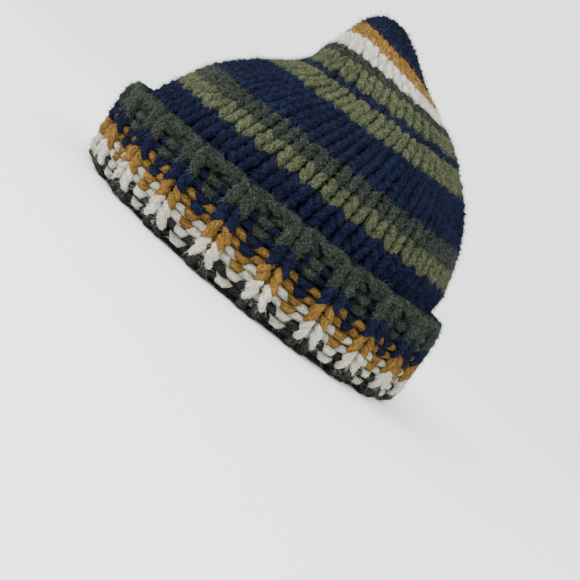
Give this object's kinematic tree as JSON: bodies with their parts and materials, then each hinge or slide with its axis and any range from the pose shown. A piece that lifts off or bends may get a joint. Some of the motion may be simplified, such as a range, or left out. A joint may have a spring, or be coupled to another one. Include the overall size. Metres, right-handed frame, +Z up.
{
  "type": "knitted beanie",
  "caption": "Chunky striped knit beanie with a turned-up ribbed cuff and a hollow crown that rises to a soft leaning peak.",
  "frame": {"origin": "centre of the hat's footprint, on the surface it rests on", "axes": "+Z up towards the peak, -Y towards the front of the hat, +X towards the wearer's left"},
  "size_m": [0.1814, 0.2144, 0.154],
  "materials": {
    "dark_olive_wool": "matte wool, dark olive grey, slightly fuzzy",
    "navy_wool": "matte wool, navy blue",
    "light_olive_wool": "matte wool, light olive green, in the crown's pale stripes",
    "mustard_wool": "matte wool, mustard, in one stripe of the cuff and one of the peak",
    "cream_wool": "matte wool, cream, in one stripe of the cuff and one of the peak"
  },
  "bodies": {
    "root": {"cuff": "dark_olive_wool", "crown": "navy_wool"}
  },
  "joints": []
}
